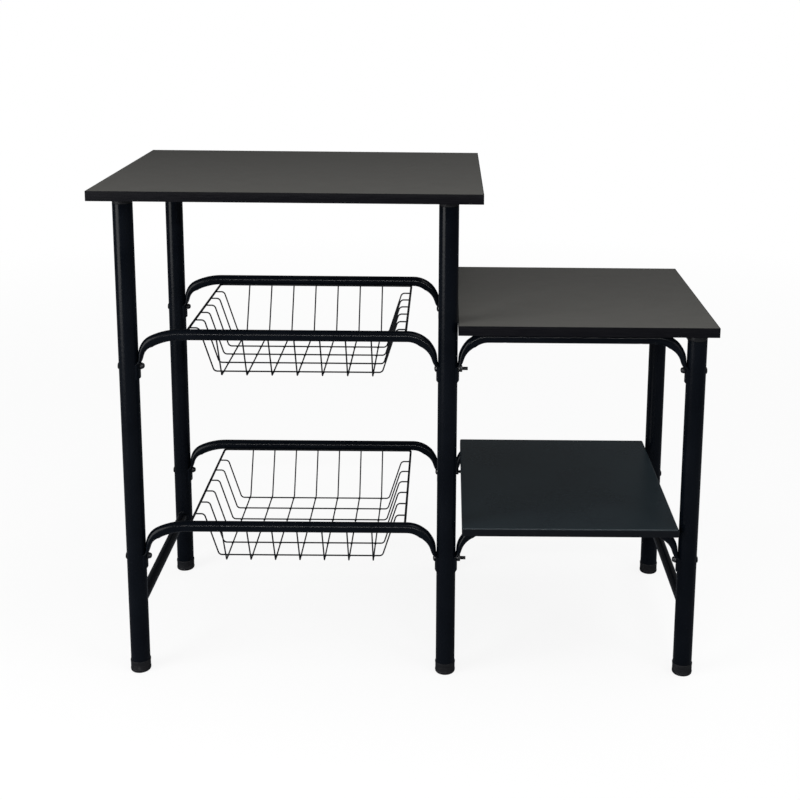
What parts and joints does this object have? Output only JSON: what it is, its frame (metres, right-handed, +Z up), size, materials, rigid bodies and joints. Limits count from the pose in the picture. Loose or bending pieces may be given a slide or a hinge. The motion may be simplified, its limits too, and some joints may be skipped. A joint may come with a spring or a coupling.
{
  "type": "microwave stand with wire baskets",
  "caption": "Two-section kitchen stand: round tube legs, a top board and wire baskets on the tall side, a low board and a sheet shelf on the low side.",
  "frame": {"origin": "centre of the bounding box in plan, on the floor", "axes": "+X from the tall section to the low section, -Y towards the front, +Z up"},
  "size_m": [1, 0.466, 0.833],
  "materials": {
    "black_tube": "satin black powder coat on steel tube",
    "black_wire": "satin black powder coat on steel wire",
    "black_bolt": "black coated steel bolts and nuts",
    "shelf_sheet": "semi-gloss dark grey paint on folded sheet",
    "grey_board": "particle board with a matt dark grey top and black edges",
    "black_plastic": "moulded black plastic",
    "zinc_screw": "zinc-plated screws, hidden inside the tubes"
  },
  "bodies": {
    "root": {"front_left_leg": "black_tube", "front_left_foot": "black_plastic", "front_left_plug": "black_plastic", "back_left_leg": "black_tube", "back_left_foot": "black_plastic", "back_left_plug": "black_plastic", "front_middle_leg": "black_tube", "front_middle_foot": "black_plastic", "front_middle_plug": "black_plastic", "back_middle_leg": "black_tube", "back_middle_foot": "black_plastic", "back_middle_plug": "black_plastic", "front_right_leg": "black_tube", "front_right_foot": "black_plastic", "front_right_plug": "black_plastic", "back_right_leg": "black_tube", "back_right_foot": "black_plastic", "back_right_plug": "black_plastic", "tall_upper_front_arch": "black_tube", "tall_upper_back_arch": "black_tube", "tall_lower_front_arch": "black_tube", "tall_lower_back_arch": "black_tube", "low_upper_front_arch": "black_tube", "low_upper_back_arch": "black_tube", "low_lower_front_arch": "black_tube", "low_lower_back_arch": "black_tube", "left_stretcher": "black_tube", "middle_stretcher": "black_tube", "right_stretcher": "black_tube", "upper_right_stretcher": "black_tube", "top_board": "grey_board", "low_board": "grey_board", "sheet_shelf": "shelf_sheet", "upper_basket": "black_wire", "lower_basket": "black_wire", "outer_leg_bolts": "black_bolt", "cap_nuts": "black_bolt", "middle_leg_bolts": "black_bolt", "hex_nuts": "black_bolt", "plug_screws": "zinc_screw", "board_screws": "zinc_screw"}
  },
  "joints": []
}
